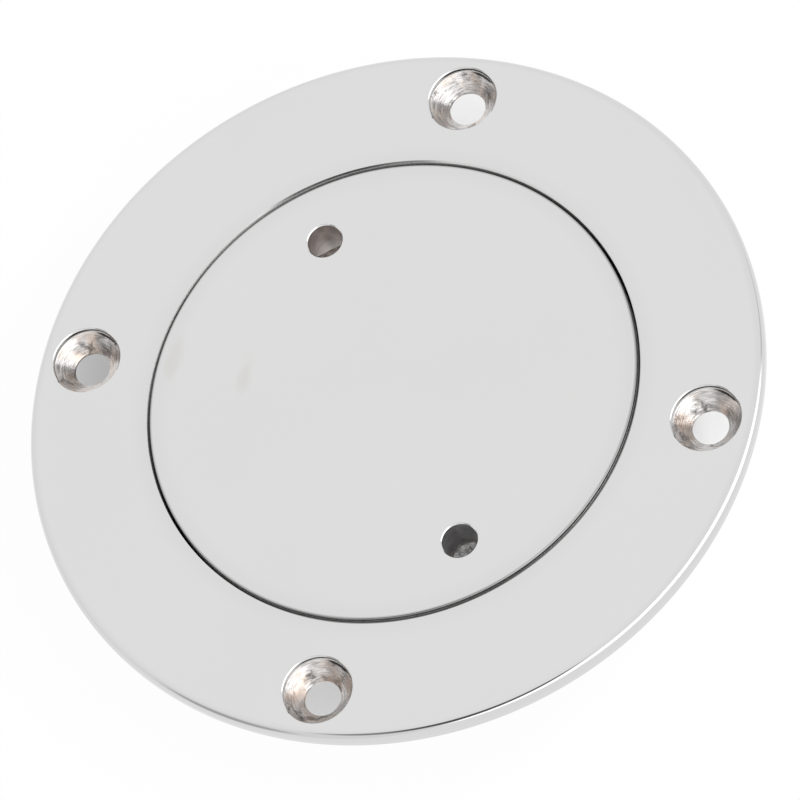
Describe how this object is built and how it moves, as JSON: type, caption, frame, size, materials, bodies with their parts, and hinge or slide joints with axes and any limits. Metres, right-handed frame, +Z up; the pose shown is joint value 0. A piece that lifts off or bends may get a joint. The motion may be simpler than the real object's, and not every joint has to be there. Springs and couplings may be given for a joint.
{
  "type": "deck inspection plate",
  "caption": "Round polished deck inspection plate: a countersunk frame ring with a threaded collar and a flush screw-in lid on a seal.",
  "frame": {"origin": "centre of the flange's underside, on the ring's axis, at the deck surface", "axes": "+Z up out of the deck along the ring's axis, +X through one screw hole, +Y through the next"},
  "size_m": [0.127, 0.127, 0.0172],
  "materials": {
    "polished_steel": "mirror-polished stainless steel, turned and unpolished inside the screw and spanner holes",
    "seal_rubber": "smooth black rubber"
  },
  "bodies": {
    "frame_body": {"frame": "polished_steel"},
    "seal_body": {"seal_ring": "seal_rubber"},
    "lid_body": {"lid": "polished_steel"}
  },
  "joints": [
    {"name": "lid_lift", "type": "slide", "parent": "frame_body", "child": "seal_body", "axis": [0, 0, 1], "range_m": [0, 0.0181]},
    {"name": "lid_turn", "type": "hinge", "parent": "seal_body", "child": "lid_body", "pos_m": [0, 0, 0], "axis": [0, 0, 1], "range_deg": [0, 2160]}
  ],
  "couplings": [
    {"joint": "lid_lift", "follows": "lid_turn", "m_per_rad": 0.00047746}
  ]
}
